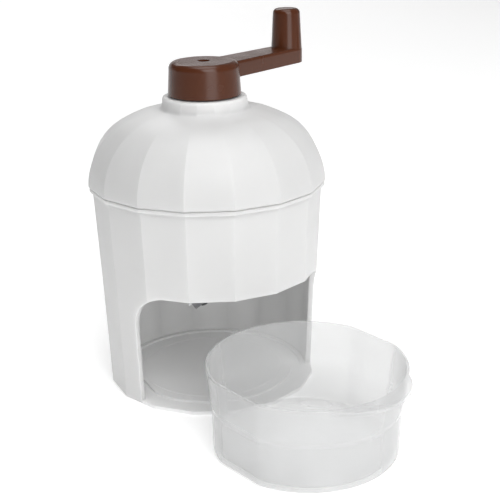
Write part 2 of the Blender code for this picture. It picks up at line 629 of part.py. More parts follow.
def make_crank():
    """Hub, flat arm and upright knob in one moulding, and the screw that holds them."""
    shoulder = arc((HUB_SHOULDER_R - HUB_EDGE_R, HUB_TOP_Z - HUB_EDGE_R), HUB_EDGE_R, 90, 0, 4)
    crank = turned("crank_handle", [(0, HUB_TOP_Z), *shoulder, (HUB_R, HUB_LOW_Z), (0, HUB_LOW_Z)],
                   "crank_brown")
    crank.rotation_euler.z = heading(CRANK_DIRECTION)
    shape = bmesh.new()
    for radius, x in ((ARM_HUB_HALF, 0.0), (KNOB_FOOT_R, CRANK_RADIUS)):
        spot = Matrix.Translation((x * MM, 0, (ARM_LOW_Z + ARM_TOP_Z) / 2 * MM))
        bmesh.ops.create_cone(shape, cap_ends=True, segments=28, radius1=radius * MM,
                              radius2=radius * MM, depth=(ARM_TOP_Z - ARM_LOW_Z) * MM, matrix=spot)
    hull = bmesh.ops.convex_hull(shape, input=shape.verts)
    spare = [part for part in hull["geom_interior"] + hull["geom_unused"]
             if isinstance(part, bmesh.types.BMVert)]
    bmesh.ops.delete(shape, geom=spare, context="VERTS")
    bmesh.ops.dissolve_limit(shape, angle_limit=math.radians(1), verts=shape.verts, edges=shape.edges)
    waist = (ARM_LOW_Z + ARM_TOP_Z) / 2 * MM
    top_edges = [edge for edge in shape.edges if min(vertex.co.z for vertex in edge.verts) > waist]
    bmesh.ops.bevel(shape, geom=top_edges, offset=ARM_EDGE_R * MM, segments=3, profile=0.5,
                    affect="EDGES")
    mesh = bpy.data.meshes.new("add_arm")
    shape.to_mesh(mesh)
    shape.free()
    arm = add_object("add_arm", mesh)
    crown = arc((KNOB_TOP_R - KNOB_EDGE_R, KNOB_TOP_Z - KNOB_EDGE_R), KNOB_EDGE_R, 90, 0, 4)
    knob = turned("add_knob", [(0, KNOB_TOP_Z), *crown, (KNOB_FOOT_R - 0.15, ARM_TOP_Z - 2),
                               (KNOB_FOOT_R - 0.15, ARM_LOW_Z + 2.2), (0, ARM_LOW_Z + 2.2)], steps=32)
    knob.location.x = CRANK_RADIUS * MM
    socket = SQUARE / 2 + GAP
    square = block("cut_square", (-socket, -socket, HUB_LOW_Z - 1), (socket, socket, SHAFT_TOP_Z + GAP))
    recess = cylinder("cut_screw_recess", SCREW_RECESS_R, SCREW_SEAT_Z, HUB_TOP_Z + 1)
    through = cylinder("cut_screw_hole", SCREW_HOLE_R, SHAFT_TOP_Z - 1, HUB_TOP_Z)
    for item in (arm, knob, square, recess, through):
        item.parent = crank
    boolean(crank, "UNION", arm, knob)
    boolean(crank, "DIFFERENCE", square, recess, through, solver="MANIFOLD")
    screw = pan_screw("crank_screw", *CRANK_SCREW, "steel")
    place(screw, (0, 0, SCREW_SEAT_Z + GAP))


def box_taper(name, inset, low, top):
    """Tapered block that cuts the container's two side flats."""
    shape = bmesh.new()
    bmesh.ops.create_cube(shape, size=2.0)
    for vertex in shape.verts:
        height = top if vertex.co.z > 0 else low
        slope = (BOX_RIM_R - BOX_FOOT_R) / BOX_HEIGHT
        flat = BOX_FOOT_R + slope * height - BOX_FLAT_DEPTH - inset
        vertex.co = Vector((math.copysign(flat, vertex.co.x), math.copysign(80, vertex.co.y), height)) * MM
    mesh = bpy.data.meshes.new(name)
    shape.to_mesh(mesh)
    shape.free()
    return add_object(name, mesh)


def make_container():
    """Clear cup with two side flats, a stepped wall and a front lip to pull it by."""
    foot = arc((BOX_FOOT_R - 0.8, 0.8), 0.8, 0, -90, 3)
    box = turned("container", [
        (0, BOX_HEIGHT), (BOX_RIM_R, BOX_HEIGHT), (BOX_BAND_R, BOX_BAND_Z), (BOX_STEP_R, BOX_STEP_Z),
        *foot, (0, 0)], "clear_plastic")
    hollow = turned("cut_hollow", [
        (0, BOX_HEIGHT + 4), (BOX_RIM_R - BOX_WALL + 0.4, BOX_HEIGHT + 4),
        (BOX_BAND_R - BOX_WALL, BOX_BAND_Z - 2.5), (BOX_STEP_R - BOX_WALL, BOX_STEP_Z - 2.0),
        (BOX_FOOT_R - BOX_WALL - 0.1, BOX_FLOOR_T + 1.2),
        (BOX_FOOT_R - BOX_WALL - 1.3, BOX_FLOOR_T), (0, BOX_FLOOR_T)])
    lip = cylinder("add_lip", LIP_R, BOX_HEIGHT - LIP_T, BOX_HEIGHT, steps=ROUND_STEPS)
    lip.location.y = -LIP_FORWARD * MM
    outside = box_taper("keep_outer_flats", 0.0, -1, BOX_HEIGHT + 1)
    inside = box_taper("keep_inner_flats", BOX_WALL, -1, BOX_HEIGHT + 6)
    for item in (hollow, lip, outside, inside):
        item.parent = box
    boolean(box, "INTERSECT", outside)
    boolean(hollow, "INTERSECT", inside)
    boolean(box, "UNION", lip)
    boolean(box, "DIFFERENCE", hollow)
    tilt = Euler((math.radians(BOX_TILT), 0, 0)).to_matrix()
    turn = Euler((0, 0, math.radians(BOX_TURN))).to_matrix()
    place(box, BOX_PLACE, (tilt @ turn).to_euler())


def settle():
    """Apply each part's modifiers and shade its round faces smooth."""
    bpy.context.view_layer.update()
    graph = bpy.context.evaluated_depsgraph_get()
    for item in PARTS.objects:
        item["settled"] = bpy.data.meshes.new_from_object(item.evaluated_get(graph)).name
    for item in PARTS.objects:
        mesh = bpy.data.meshes[item["settled"]]
        item.modifiers.clear()
        item.data = mesh
        mesh.name = item.name
        del item["settled"]
        mesh.shade_smooth()
        mesh.set_sharp_from_angle(angle=math.radians(SHARP_ANGLE))


clear_scene()
PARTS = make_collection("ice_shaver")
CUTTERS = make_collection("ice_shaver_cutters")
make_materials()
make_body_shell()
make_base_plate()
make_lid()
make_drive()
make_spring()
make_presser()
make_blade(make_chamber())
make_crank()
make_container()
settle()
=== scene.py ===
"""Looks of the hand-crank ice shaver: fine moulded shells, clear container, materials, light and camera.

Sizes are in millimetres, as on the CAD part, and MM turns them into Blender's metres.
"""

import math

import bmesh
import bpy
from mathutils import Euler, Matrix, Vector


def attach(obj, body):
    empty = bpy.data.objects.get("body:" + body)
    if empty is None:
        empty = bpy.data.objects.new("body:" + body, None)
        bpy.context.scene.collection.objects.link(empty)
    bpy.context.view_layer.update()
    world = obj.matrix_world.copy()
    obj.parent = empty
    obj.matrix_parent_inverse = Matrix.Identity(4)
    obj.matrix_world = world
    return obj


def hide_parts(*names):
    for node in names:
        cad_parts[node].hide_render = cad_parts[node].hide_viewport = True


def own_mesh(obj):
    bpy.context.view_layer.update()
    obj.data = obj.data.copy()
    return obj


MM = 0.001
GAP = 0.3
GLOW_REACH = 7.0               # how far light spreads inside white plastic

# Outer shells: sixteen flats with softly rounded corners, one flat square to the front
FACETS = 16
CORNER_ROUND = 0.022           # corner radius as a share of the shell's radius
CORNER_STEPS = 4
FLAT_STEPS = 3

# Body
RIM_R = 67.5
RIM_TOP_Z = 119.9
RIM_LOW_Z = 117.8
NECK_R = 65.5
NECK_Z = 114.0
ARCH_R = 63.4
FOOT_R = 60.9
BORE_FOOT_R = 56.8
BORE_ARCH_R = 59.3
BORE_TOP_R = 60.8
LEDGE_R = 58.9
LEDGE_Z = 115.2
SOCKET_R = 62.6
ARCH_HALF_ANGLE = 66.4
ARCH_TOP_Z = 68.3
ARCH_CORNER_R = 21.0
ARCH_STEPS = 48
ARCH_CORNER_SHARE = 0.42
BOSS_CIRCLE_R = 56.6
BOSS_R = 3.4
BOSS_ANGLES = (60.0, 180.0, 300.0)
SCREW_HOLE_R = 1.5
BOSS_LOW_Z = 99.0
BOSS_HOLE_Z = 104.0
BOSS_DROP = 0.4                # boss top below the ledge
WEB_HALF = 2.6
WEB_LOW_Z = 99.5
WEB_OUTER_R = 61.9
WEB_DROP = 1.0
RIM_OVERHANG = 0.9             # how far the rim's flange stands out over the cove
RIM_EDGE_R = 0.25
FLANGE_EDGE_R = 0.15
FOOT_EDGE_R = 0.6
BORE_EDGE = 0.3
LEDGE_EDGE = 0.2
LEDGE_SLOPE_Z = 4.3
SOCKET_EDGE = 0.4
ARCH_EDGE_R = 0.4
ARCH_CUT = (45.0, 80.0)        # inner and outer radius of the arch's cutting block

# Base plate
SILL_TOP_Z = 2.0
GROOVE_Z = 0.8
PLATE_R = 56.4
GROOVE_R = 53.6
PLATFORM_R = 47.5
PLATFORM_HALF = 44.0
PLATFORM_TOP_Z = 2.2
PLATFORM_LINE_R = 41.7
PAD_R = 5.0
PAD_POCKET_Z = 1.2
PAD_CIRCLE_R = 36.0
PAD_COUNT = 4
PLATFORM_ROOT = 0.37           # how deep the platform is sunk into the pan
PLATFORM_LINE_HALF = 0.35
PLATFORM_LINE_DEPTH = 0.25
PLATE_EDGE_R = 0.18
FINE_STEPS = 128               # sides of the large round shapes

# Lid
LID_LOW_Z = RIM_TOP_Z + GAP
DOME_R = 67.95
DOME_HEIGHT = 41.8
DOME_POWER_R = 3.335
DOME_POWER_Z = 1.917
DOME_TOP_ANGLE = 79.5
DOME_ROUNDNESS = 0.62          # how far the flats have swollen to a circle at the dome's top
COLLAR_ROUNDNESS = 0.45
LID_WALL = 2.2
SKIRT_R = 62.2
SKIRT_WALL = 1.3
SKIRT_LOW_Z = 117.6
COLLAR_TOP_Z = 168.4
COLLAR_EDGE_R = 1.5
COLLAR_TOP_R = 24.1
COLLAR_FOOT_R = 24.6
COLLAR_BORE_R = 20.5
BUSH_R = 8.5
BUSH_BOSS_R = 11.5
BUSH_BOSS_Z = 157.0
LID_EDGE = 0.3
LID_SEAT_T = 1.8
COLLAR_TOP_T = 2.5
COVE_ROUNDING = 0.02           # extra roundness for each row of the cove
DOME_CLEAR = 2.6               # the dome's rows end this far outside the collar's foot
COVE = ((-0.1, 2.3), (0.1, 1.4), (0.5, 0.75), (1.1, 0.3), (1.9, 0.05))

# Crank
HUB_LOW_Z = 169.0
HUB_TOP_Z = 187.6
HUB_R = 20.6
HUB_SHOULDER_R = 19.7
HUB_EDGE_R = 3.8
CRANK_DIRECTION = 114.3
CRANK_RADIUS = 74.3
ARM_LOW_Z = 177.0
ARM_TOP_Z = 186.0
ARM_HUB_HALF = 11.0
ARM_EDGE_R = 1.5
KNOB_FOOT_R = 9.4
KNOB_TOP_R = 8.1
KNOB_TOP_Z = 209.0
KNOB_EDGE_R = 3.0
SQUARE_HALF = 3.8
SQUARE_TOP_Z = 181.8
RECESS_R = 3.4
RECESS_LOW_Z = 184.1
RECESS_RIM = 1.5
HUB_FOOT_EDGE = 0.4
ARM_LOW_EDGE_R = 0.3
ARM_SIDES = 72
KNOB_SIDES = 80
KNOB_INSET = 0.12
KNOB_ROOT = (2.0, 2.2)         # the knob's lower rows, below the arm's top and above its underside
JOIN_FILLET = 0.45

# Container, drawn upright in its own frame
BOX_HEIGHT = 46.7
BOX_RIM_R = 52.3
BOX_BAND_R = 50.4
BOX_BAND_Z = 28.0
BOX_STEP_R = 49.5
BOX_STEP_Z = 24.6
BOX_FOOT_R = 48.9
BOX_WALL = 1.4
BOX_FLOOR_T = 1.6
BOX_FLAT_DEPTH = 2.2
BOX_EDGE_R = 0.5
BOX_FOOT_EDGE_R = 0.8
BOX_FLOOR_EDGE_R = 1.5
BOX_STEP_EDGE = 0.8
BOX_DRAFT = 0.15
BOX_HOLLOW_STEP = 2.5          # the hollow's step below the outer one
BOX_JOIN_FILLET = 0.35
ROUND_SIDE_STEPS = 56
FLAT_SIDE_SHARES = (-0.985, -0.9, -0.6, -0.3, 0.0, 0.3, 0.6, 0.9, 0.985)
LIP_EDGE_R = 0.6
LIP_R = 33.7
LIP_FORWARD = 26.3
LIP_T = 2.5
BOX_PLACE = (6.25, -107.45, 1.13)
BOX_TURN = 15.8
BOX_TILT = 1.3

# Pressure spring
SPRING_R = 9.5
SPRING_WIRE = 1.4
SPRING_TURNS = 9
SPRING_FLAT_PITCH = 1.15
SPRING_LOW_Z = 84.30
SPRING_TOP_Z = 151.08
SPRING_STEPS = 24
SPRING_WIRE_SIDES = 10

# Camera
CAMERA_PLACE = (-236.8, -552.0, 285.05)
CAMERA_HEADING = 0.4452        # radians from +Y towards +X
CAMERA_PITCH = 0.335           # radians below the horizon
CAMERA_ROLL = -0.016
CAMERA_LENS = 77.85            # millimetres

# Studio: name, place, aim, size in metres and watts of each soft box
LIGHTS = (
    ("overhead", (0, -200, 2600), (0, -40, 80), 1.8, 34.0),
    ("backdrop", (500, 2600, 2000), (300, 2500, 0), 1.6, 22.0),
    ("front_low", (0, -1500, 260), (0, 0, 50), 0.9, 6.5),
    ("front_high", (-100, -1100, 1000), (0, 0, 30), 0.9, 11.0),
)
WORLD_LEFT = 0.05
WORLD_RIGHT = 0.22
PAPER_WHITE = 0.95
PAPER_GLOW = 0.30
PAPER_HALF = 6000.0
PAPER_FRONT = -3000.0
PAPER_BACK = 3500.0
PAPER_SWEEP_R = 1500.0
PAPER_Z = -0.1

# Plastics
ABS_IOR = 1.49
STYRENE_IOR = 1.59
GRAIN_STRENGTH = 0.35
GLOSS_SPREAD = 0.05
EDGE_DENSITY_POWER = 3.0       # how fast the clear walls thicken to the eye towards their edges


def direction(angle):
    """Unit vector at an angle in degrees from the front towards +X."""
    turn = math.radians(angle)
    return Vector((math.sin(turn), -math.cos(turn), 0.0))


def heading(angle):
    """Turn about Z that points +X along direction(angle)."""
    return math.radians(angle - 90.0)


def arc(center, radius, start, stop, count):
    """Points (r, z) of an arc, or of an ellipse's if the radius is a pair, angles in degrees."""
    wide, tall = radius if isinstance(radius, tuple) else (radius, radius)
    angles = [math.radians(start + (stop - start) * step / count) for step in range(count + 1)]
    return [(center[0] + wide * math.cos(a), center[1] + tall * math.sin(a)) for a in angles]


def stretch(start, stop, count):
    """Points from start to stop, the last one left out."""
    return [(start[0] + (stop[0] - start[0]) * step / count,
             start[1] + (stop[1] - start[1]) * step / count) for step in range(count)]


# ---------------------------------------------------------------- mesh tools

def to_object(name, shape):
    """Object made from a bmesh, its faces turned out."""
    bmesh.ops.recalc_face_normals(shape, faces=shape.faces)
    mesh = bpy.data.meshes.new(name)
    shape.to_mesh(mesh)
    shape.free()
    item = bpy.data.objects.new(name, mesh)
    bpy.context.scene.collection.objects.link(item)
    return item


def loft(name, rows, ring=False):
    """Skin over rows of points in millimetres; a row of one point is a pole."""
    shape = bmesh.new()
    lines = [[shape.verts.new(Vector(point) * MM) for point in row] for row in rows]
    pairs = list(zip(lines, lines[1:])) + ([(lines[-1], lines[0])] if ring else [])
    for upper, lower in pairs:
        count = max(len(upper), len(lower))
        for index in range(count):
            after = (index + 1) % count
            corners = [upper[index % len(upper)], upper[after % len(upper)],
                       lower[after % len(lower)], lower[index % len(lower)]]
            shape.faces.new(list(dict.fromkeys(corners)))
    return to_object(name, shape)


def facet_section():
    """Unit polygon with rounded corners, anticlockwise from the front flat."""
    half = math.pi / FACETS
    inner = (math.cos(half) - CORNER_ROUND) / math.cos(half)
    points = []
    for corner in range(FACETS):
        middle = -math.pi / 2 + half + corner * 2 * half
        for step in range(CORNER_STEPS + 1):
            angle = middle - half + 2 * half * step / CORNER_STEPS
            points.append(Vector((inner * math.cos(middle) + CORNER_ROUND * math.cos(angle),
                                  inner * math.sin(middle) + CORNER_ROUND * math.sin(angle))))
        last = points[-1]
        turn = Matrix.Rotation(2 * half, 2)
        following = turn @ points[-1 - CORNER_STEPS]
        points += [last.lerp(following, step / (FLAT_STEPS + 1)) for step in range(1, FLAT_STEPS + 1)]
    return points


SECTION = facet_section()


def faceted_rows(outline):
    """Rows for loft() from (r, z) or (r, z, roundness) points."""
    rows = []
    for radius, height, *rest in outline:
        roundness = rest[0] if rest else 0.0
        if radius == 0:
            rows.append([(0, 0, height)])
            continue
        row = []
        for point in SECTION:
            spot = point.lerp(point.normalized(), roundness) * radius
            row.append((spot.x, spot.y, height))
        rows.append(row)
    return rows


def round_rows(outline, count=96):
    """Rows for loft() of a round turned shape."""
    rows = []
    for radius, height in outline:
        if radius == 0:
            rows.append([(0, 0, height)])
            continue
        angles = [2 * math.pi * step / count for step in range(count)]
        rows.append([(radius * math.cos(a), radius * math.sin(a), height) for a in angles])
    return rows


def turned(name, outline, count=96, ring=False):
    """Round turned solid."""
    return loft(name, round_rows(outline, count), ring)


def cylinder(name, radius, low, top, count=48):
    """Upright cylinder about Z."""
    return turned(name, [(0, top), (radius, top), (radius, low), (0, low)], count)


def block(name, low, high):
    """Box between two corners."""
    shape = bmesh.new()
    bmesh.ops.create_cube(shape, size=1.0)
    size = [(b - a) * MM for a, b in zip(low, high)]
    middle = [(a + b) / 2 * MM for a, b in zip(low, high)]
    bmesh.ops.scale(shape, vec=size, verts=shape.verts)
    bmesh.ops.translate(shape, vec=middle, verts=shape.verts)
    return to_object(name, shape)


def place(item, location=(0, 0, 0), turn=(0, 0, 0)):
    """Set an object's place in millimetres and its turn in radians."""
    item.location = Vector(location) * MM
    item.rotation_euler = Euler(turn)
    return item


def carve(item, operation, *tools):
    """Boolean with each tool in turn; the tools are removed."""
    for tool in tools:
        step = item.modifiers.new(tool.name, "BOOLEAN")
        step.operation = operation
        step.solver = "EXACT"
        step.object = tool
    apply_modifiers(item)
    for tool in tools:
        bpy.data.objects.remove(tool, do_unlink=True)
    return item


def apply_modifiers(item):
    """Put the evaluated mesh in place of the modifiers."""
    bpy.context.view_layer.update()
    graph = bpy.context.evaluated_depsgraph_get()
    mesh = bpy.data.meshes.new_from_object(item.evaluated_get(graph))
    item.modifiers.clear()
    item.data = mesh
    mesh.name = item.name


def soften(item, width, angle, segments=3):
    """Round the edges sharper than an angle in degrees."""
    weld = item.modifiers.new("Weld", "WELD")
    weld.merge_threshold = 0.00001
    bevel = item.modifiers.new("Soften", "BEVEL")
    bevel.width = width * MM
    bevel.segments = segments
    bevel.limit_method = "ANGLE"
    bevel.angle_limit = math.radians(angle)
    bevel.miter_outer = "MITER_ARC"
    apply_modifiers(item)
    return item


def smooth(item, angle=30.0):
    """Smooth shading with sharp edges kept, and flats kept flat."""
    item.data.shade_smooth()
    item.data.set_sharp_from_angle(angle=math.radians(angle))
    normals = item.modifiers.new("Flats", "WEIGHTED_NORMAL")
    normals.keep_sharp = True
    normals.weight = 80
    apply_modifiers(item)
    return item


def bent_arch(name, half_angle, foot, spring_line, corner, radii):
    """Arch-topped block bent about Z: straight sides up to spring_line, then round corners."""
    half = math.radians(half_angle)
    reach = corner / BORE_ARCH_R
    shape = bmesh.new()
    bmesh.ops.create_grid(shape, x_segments=2 * ARCH_STEPS, y_segments=1, size=1.0)
    for vertex in shape.verts:
        share = min(1.0, max(0.0, (1.0 - abs(vertex.co.x)) / ARCH_CORNER_SHARE)) * math.pi / 2
        along = max(0.0, 1.0 - ARCH_CORNER_SHARE - abs(vertex.co.x)) / (1.0 - ARCH_CORNER_SHARE)
        angle = half - reach * (1.0 - math.cos(share))
        if share >= math.pi / 2 - 1e-6:
            angle = (half - reach) * (1.0 - along)
        height = spring_line + corner * math.sin(share) if vertex.co.y > 0 else foot
        angle = math.copysign(angle, vertex.co.x)
        vertex.co = direction(math.degrees(angle)) * radii[0] * MM + Vector((0, 0, height * MM))
    grown = bmesh.ops.extrude_face_region(shape, geom=shape.faces[:])
    for vertex in (part for part in grown["geom"] if isinstance(part, bmesh.types.BMVert)):
        vertex.co.x *= radii[1] / radii[0]
        vertex.co.y *= radii[1] / radii[0]
    return to_object(name, shape)


# ---------------------------------------------------------------- pieces

def make_body():
    """White shell: faceted outside with a thin rim, round inside, and the arched opening."""
    cove = arc((RIM_R - RIM_OVERHANG, NECK_Z),
               (NECK_R - RIM_R + RIM_OVERHANG, RIM_LOW_Z - RIM_EDGE_R - NECK_Z), 90, 0, 8)
    outline = [
        *arc((RIM_R - RIM_EDGE_R, RIM_TOP_Z - RIM_EDGE_R), RIM_EDGE_R, 90, 0, 3),
        *arc((RIM_R - FLANGE_EDGE_R, RIM_LOW_Z + FLANGE_EDGE_R), FLANGE_EDGE_R, 0, -90, 3),
        (RIM_R - RIM_OVERHANG + 0.1, RIM_LOW_Z), *cove,
        *stretch((NECK_R - FLANGE_EDGE_R, NECK_Z - 3), (ARCH_R, ARCH_TOP_Z), 6),
        *stretch((ARCH_R, ARCH_TOP_Z), (FOOT_R, FOOT_EDGE_R), 6),
        *arc((FOOT_R - FOOT_EDGE_R, FOOT_EDGE_R), FOOT_EDGE_R, 0, -90, 4)]
    slope_z = LEDGE_Z - LEDGE_SLOPE_Z
    inside = [
        (BORE_FOOT_R + BORE_EDGE, 0), (BORE_FOOT_R, BORE_EDGE),
        *stretch((BORE_FOOT_R + 0.1, 2), (BORE_ARCH_R, ARCH_TOP_Z), 5),
        *stretch((BORE_ARCH_R, ARCH_TOP_Z), (BORE_TOP_R, slope_z), 4), (BORE_TOP_R, slope_z),
        (LEDGE_R, LEDGE_Z - 2), (LEDGE_R, LEDGE_Z - LEDGE_EDGE), (LEDGE_R + LEDGE_EDGE, LEDGE_Z),
        (SOCKET_R - LEDGE_EDGE, LEDGE_Z), (SOCKET_R, LEDGE_Z + LEDGE_EDGE),
        (SOCKET_R, RIM_TOP_Z - SOCKET_EDGE), (SOCKET_R + SOCKET_EDGE, RIM_TOP_Z)]
    outline += [(radius, height, 1.0) for radius, height in inside]
    shell = loft("body_shell_fine", faceted_rows(outline), ring=True)
    arch = bent_arch("cut_arch", ARCH_HALF_ANGLE, -2.0, ARCH_TOP_Z - ARCH_CORNER_R, ARCH_CORNER_R,
                     ARCH_CUT)
    carve(shell, "DIFFERENCE", arch)
    soften(shell, ARCH_EDGE_R, 50)
    for number, angle in enumerate(BOSS_ANGLES):
        spot = direction(angle) * BOSS_CIRCLE_R
        turn = (0, 0, heading(angle))
        boss = place(cylinder(f"boss_{number}", BOSS_R, BOSS_LOW_Z, LEDGE_Z - BOSS_DROP), spot, turn)
        web = place(block(f"web_{number}", (BOSS_CIRCLE_R, -WEB_HALF, WEB_LOW_Z),
                          (WEB_OUTER_R, WEB_HALF, LEDGE_Z - WEB_DROP)), turn=turn)
        hole = place(cylinder(f"hole_{number}", SCREW_HOLE_R, BOSS_HOLE_Z, LEDGE_Z + 1), spot)
        carve(shell, "UNION", boss, web)
        carve(shell, "DIFFERENCE", hole)
    # The bore's inward faces take the lighter white: painted light inside the bay.
    for face in shell.data.polygons:
        middle = face.center / MM
        inward = face.normal.x * middle.x + face.normal.y * middle.y < 0
        face.material_index = int(inward and middle.xy.length < BORE_TOP_R + 1)
    return finish_piece(shell, "housing", (WHITE, BAY_LIGHTENED_WHITE), "body_shell")


def make_base():
    """Floor of the bay, with its sill, groove, platform and a faint ring on the platform."""
    plate = turned("base_plate_fine", [(0, SILL_TOP_Z), (PLATE_R, SILL_TOP_Z), (PLATE_R, 0), (0, 0)])
    sill = loft("sill", faceted_rows([(0, SILL_TOP_Z), (FOOT_R, SILL_TOP_Z), (FOOT_R, 0), (0, 0)]))
    play = math.degrees(GAP / BORE_FOOT_R)
    carve(sill, "INTERSECT", bent_arch("keep_sill", ARCH_HALF_ANGLE - play, -1, 4, 2, (50.0, 70.0)))
    carve(plate, "UNION", sill)
    carve(plate, "DIFFERENCE", cylinder("pan", GROOVE_R, GROOVE_Z, 8, FINE_STEPS))
    platform = cylinder("platform", PLATFORM_R, GROOVE_Z - PLATFORM_ROOT, PLATFORM_TOP_Z, FINE_STEPS)
    carve(platform, "INTERSECT", block("keep_platform", (-PLATFORM_HALF, -60, -1),
                                         (PLATFORM_HALF, 60, 9)))
    wide, narrow = PLATFORM_LINE_R + PLATFORM_LINE_HALF, PLATFORM_LINE_R - PLATFORM_LINE_HALF
    above, below = PLATFORM_TOP_Z + 1, PLATFORM_TOP_Z - PLATFORM_LINE_DEPTH
    ring = turned("ring", [(wide, above), (wide, below), (narrow, below), (narrow, above)],
                  FINE_STEPS, ring=True)
    carve(plate, "UNION", platform)
    carve(plate, "DIFFERENCE", ring)
    for number in range(PAD_COUNT):
        spot = direction((number + 0.5) * 360 / PAD_COUNT) * PAD_CIRCLE_R
        carve(plate, "DIFFERENCE", place(cylinder("pocket", PAD_R + GAP, -1, PAD_POCKET_Z), spot))
    soften(plate, PLATE_EDGE_R, 50, 2)
    # The whole plate takes the lighter white: painted light on the bay floor.
    return finish_piece(plate, "housing", (BAY_LIGHTENED_WHITE,), "base_plate")


def dome_points(radius, low, height, start, stop, count):
    """Superellipse (r, z) points between two angles in degrees above the rim."""
    points = []
    for step in range(count + 1):
        angle = math.radians(start + (stop - start) * step / count)
        points.append((radius * math.cos(angle) ** (2 / DOME_POWER_R),
                       low + height * math.sin(angle) ** (2 / DOME_POWER_Z)))
    return points


def make_lid():
    """Faceted dome with its collar, bush boss and skirt; the flats swell out towards the collar."""
    outer = dome_points(DOME_R, LID_LOW_Z, DOME_HEIGHT, DOME_TOP_ANGLE, 1.5, 44)
    inner = dome_points(DOME_R - LID_WALL, LID_LOW_Z, DOME_HEIGHT - LID_WALL, 6.0, 74.0, 20)
    skirt = SKIRT_R - SKIRT_WALL
    foot = outer[0][1]
    swollen = []
    for radius, height in outer:
        rise = (height - LID_LOW_Z) / (foot - LID_LOW_Z)
        swollen.append((radius, height, DOME_ROUNDNESS * rise ** 2))
    swollen = [point for point in swollen if point[0] > COLLAR_FOOT_R + DOME_CLEAR]
    collar = [(COLLAR_TOP_R - COLLAR_EDGE_R, COLLAR_TOP_Z - COLLAR_EDGE_R), COLLAR_EDGE_R]
    collar = [(*point, COLLAR_ROUNDNESS) for point in arc(*collar, 90, 4, 6)]
    cove = [(COLLAR_FOOT_R + outward, foot + rise, COLLAR_ROUNDNESS + COVE_ROUNDING * step)
            for step, (outward, rise) in enumerate(COVE)]
    lid = loft("lid_dome_fine", faceted_rows([
        (BUSH_R + GAP + LID_EDGE, COLLAR_TOP_Z, 1), (BUSH_BOSS_R, COLLAR_TOP_Z, 1), *collar, *cove, *swollen,
        (DOME_R - 0.03, LID_LOW_Z + 0.7),
        *arc((RIM_R - 0.2, LID_LOW_Z + RIM_EDGE_R), RIM_EDGE_R, 0, -90, 3),
        (SKIRT_R, LID_LOW_Z), (SKIRT_R, SKIRT_LOW_Z + LID_EDGE), (SKIRT_R - LID_EDGE, SKIRT_LOW_Z),
        (skirt + LID_EDGE, SKIRT_LOW_Z), (skirt, SKIRT_LOW_Z + LID_EDGE), (skirt, LID_LOW_Z + LID_SEAT_T),
        (inner[0][0], LID_LOW_Z + LID_SEAT_T), *inner[1:],
        (COLLAR_BORE_R, inner[-1][1] + 1), (COLLAR_BORE_R, COLLAR_TOP_Z - COLLAR_TOP_T, 1),
        (BUSH_BOSS_R, COLLAR_TOP_Z - COLLAR_TOP_T, 1), (BUSH_BOSS_R, BUSH_BOSS_Z, 1),
        (BUSH_R + GAP, BUSH_BOSS_Z, 1), (BUSH_R + GAP, COLLAR_TOP_Z - LID_EDGE, 1)]), ring=True)
    return finish_piece(lid, "lid", (WHITE,), "lid_dome")


